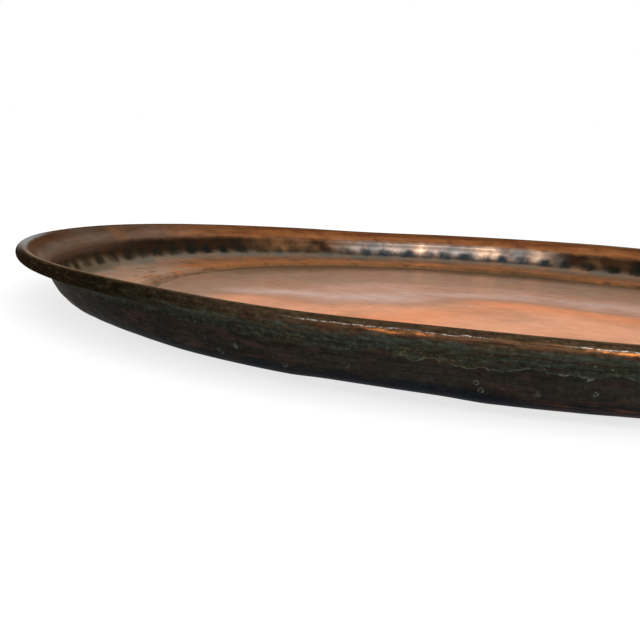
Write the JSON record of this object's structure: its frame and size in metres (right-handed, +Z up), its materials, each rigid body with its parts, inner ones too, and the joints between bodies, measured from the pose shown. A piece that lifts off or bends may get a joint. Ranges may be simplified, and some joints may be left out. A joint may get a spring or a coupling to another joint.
{
  "type": "copper tray",
  "caption": "Large round serving tray raised from sheet copper, with a sunken flat well, a hammered ledge, a low round-heeled wall and a flared lip rolled over a wire.",
  "frame": {"origin": "middle of the underside of the well, on the surface that the tray stands on", "axes": "+Z up along the tray's axis of revolution; +X and +Y in the plane of the tray"},
  "size_m": [0.8, 0.8, 0.0438],
  "materials": {
    "patinated_copper": "sheet copper: satin and bright in the well, brown tarnish on the wall and rim, green-grey patina underneath",
    "iron_wire": "dull dark iron wire, hidden inside the rolled rim"
  },
  "bodies": {
    "root": {"tray_sheet": "patinated_copper", "rim_wire": "iron_wire"}
  },
  "joints": []
}
